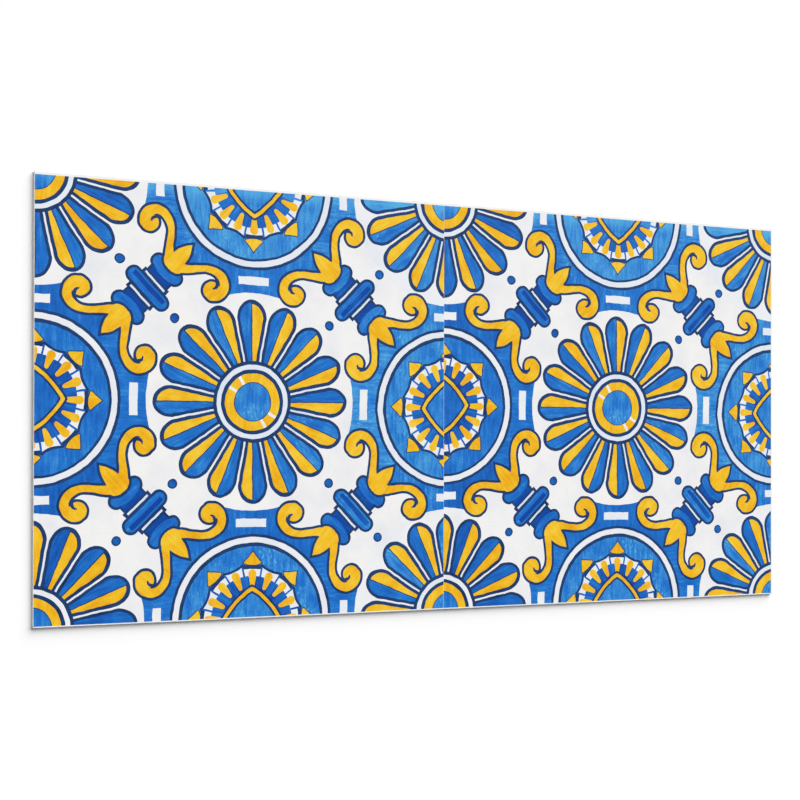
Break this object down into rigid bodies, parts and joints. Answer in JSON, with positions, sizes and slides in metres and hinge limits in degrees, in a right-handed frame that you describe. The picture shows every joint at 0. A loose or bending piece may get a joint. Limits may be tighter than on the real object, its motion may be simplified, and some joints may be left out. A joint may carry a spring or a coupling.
{
  "type": "peel and stick wall panel",
  "caption": "Flat rectangular printed wall panel with an adhesive back, stuck edge to edge on a wall; blue, yellow and white glazed-tile ornament on its face.",
  "frame": {"origin": "centre of the adhesive back face, on which the panel lies", "axes": "+X along the long edge, +Y towards the edge that is uppermost on the wall, +Z out of the printed face"},
  "size_m": [0.6, 0.3, 0.003],
  "materials": {
    "panel": "white rigid vinyl, satin, with a printed face"
  },
  "bodies": {
    "root": {"panel": "panel"}
  },
  "joints": []
}
